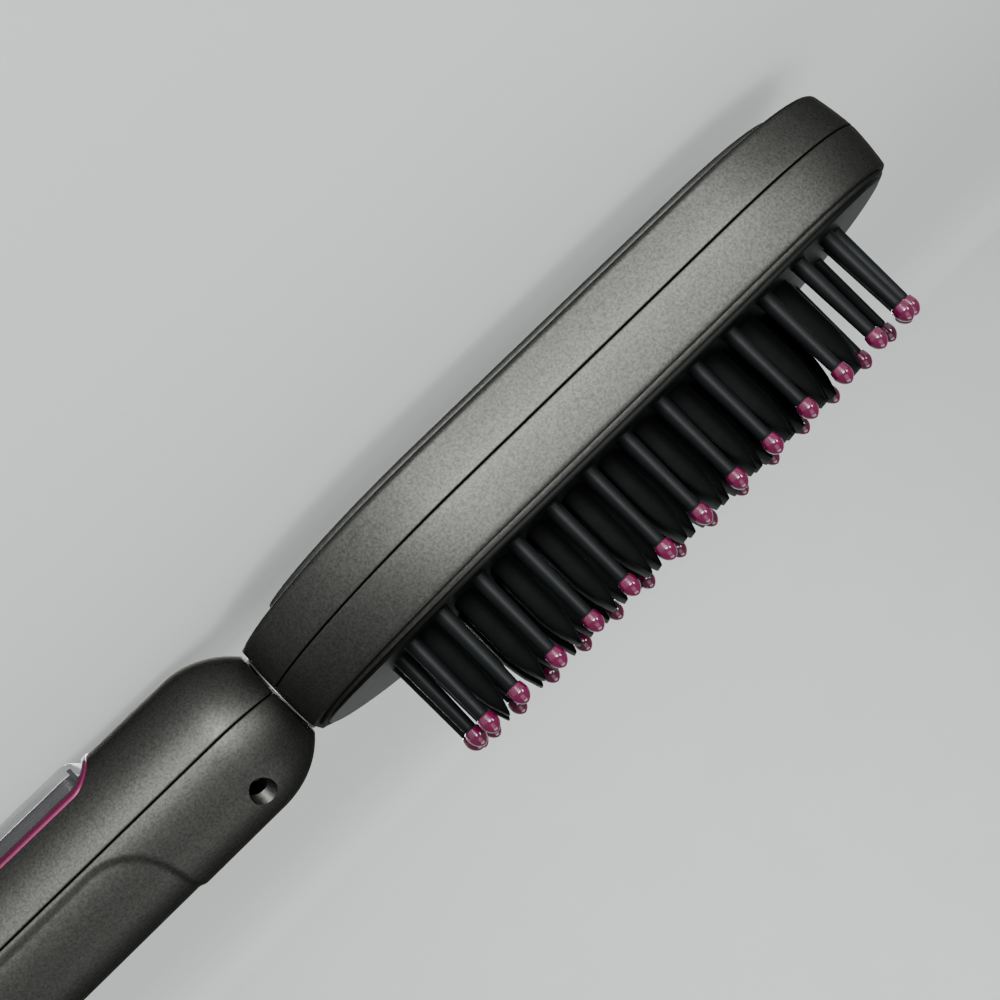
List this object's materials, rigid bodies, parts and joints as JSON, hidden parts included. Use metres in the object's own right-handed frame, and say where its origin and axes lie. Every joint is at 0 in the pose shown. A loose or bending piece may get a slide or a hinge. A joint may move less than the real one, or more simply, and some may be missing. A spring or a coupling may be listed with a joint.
{
  "type": "heated styling brush",
  "caption": "Heated paddle styling brush with pins, ball tips, heated fins, round handle, display, buttons and a swivelling cord gland.",
  "frame": {"origin": "on the resting plane, under the middle of the bounding box, with the brush lying on its back", "axes": "+X runs along the brush to the tip of its head, +Z is the bristle side, +Y completes the right-handed frame"},
  "size_m": [0.295, 0.061, 0.0458],
  "materials": {
    "graphite": "satin graphite coating with fine sparkle on moulded plastic",
    "black_nylon": "satin black heat-resistant nylon",
    "magenta_tips": "glossy deep magenta plastic",
    "coated_plate": "black low-friction coating on aluminium",
    "mica": "pressed mica sheet",
    "ceramic": "white ceramic",
    "steel": "plain steel",
    "bright_ring": "bright thin ring",
    "neck_metal": "plain aluminium",
    "clear_panel": "clear glossy panel over a silver print",
    "button_caps": "glossy silver grey",
    "black_parts": "black moulded plastic",
    "circuit_board": "green solder mask",
    "capacitor_case": "dark red box case",
    "lead_red": "red silicone insulation",
    "lead_white": "white silicone insulation"
  },
  "bodies": {
    "brush": {"back_panel": "graphite", "bristle_frame": "black_nylon", "circuit_board": "circuit_board", "clamp_screw_1": "steel", "clamp_screw_2": "steel", "clamp_screw_3": "steel", "clamp_screw_4": "steel", "control_bezel": "magenta_tips", "display_module": "black_parts", "element_clamp": "steel", "end_cap": "graphite", "handle_back_shell": "graphite", "handle_front_shell": "graphite", "head_back_shell": "graphite", "head_front_shell": "graphite", "head_screw_1": "steel", "head_screw_2": "steel", "head_screw_3": "steel", "head_screw_4": "steel", "heat_shield": "mica", "heater_element": "ceramic", "heater_lead_live": "lead_red", "heater_lead_neutral": "lead_white", "heating_plate": "coated_plate", "insulator_sheet": "mica", "mains_capacitor": "capacitor_case", "mica_sheet": "mica", "minus_switch": "black_parts", "neck_ring": "bright_ring", "neck_screw_left": "steel", "neck_screw_right": "steel", "neck_tube": "neck_metal", "panel_lens": "clear_panel", "plus_switch": "black_parts", "power_switch": "black_parts", "sensor_lead": "lead_white", "swivel_retainer": "steel", "tail_screw": "steel", "thermal_fuse": "steel", "thermistor": "ceramic", "tip_insert": "magenta_tips", "triac": "black_parts"},
    "power_button": {"power_button": "button_caps"},
    "plus_button": {"plus_button": "button_caps"},
    "minus_button": {"minus_button": "button_caps"},
    "cord_swivel": {"cord_swivel": "black_nylon"}
  },
  "joints": [
    {"name": "power_press", "type": "slide", "parent": "brush", "child": "power_button", "axis": [0, 0, 1], "range_m": [0, 0.0005], "stiffness_N_per_m": 2400},
    {"name": "plus_press", "type": "slide", "parent": "brush", "child": "plus_button", "axis": [0, 0, 1], "range_m": [0, 0.0005], "stiffness_N_per_m": 2400},
    {"name": "minus_press", "type": "slide", "parent": "brush", "child": "minus_button", "axis": [0, 0, 1], "range_m": [0, 0.0005], "stiffness_N_per_m": 2400},
    {"name": "cord_swivel_turn", "type": "hinge", "parent": "brush", "child": "cord_swivel", "pos_m": [-0.1415, 0, 0.0147], "axis": [1, 0, 0], "continuous": true}
  ]
}
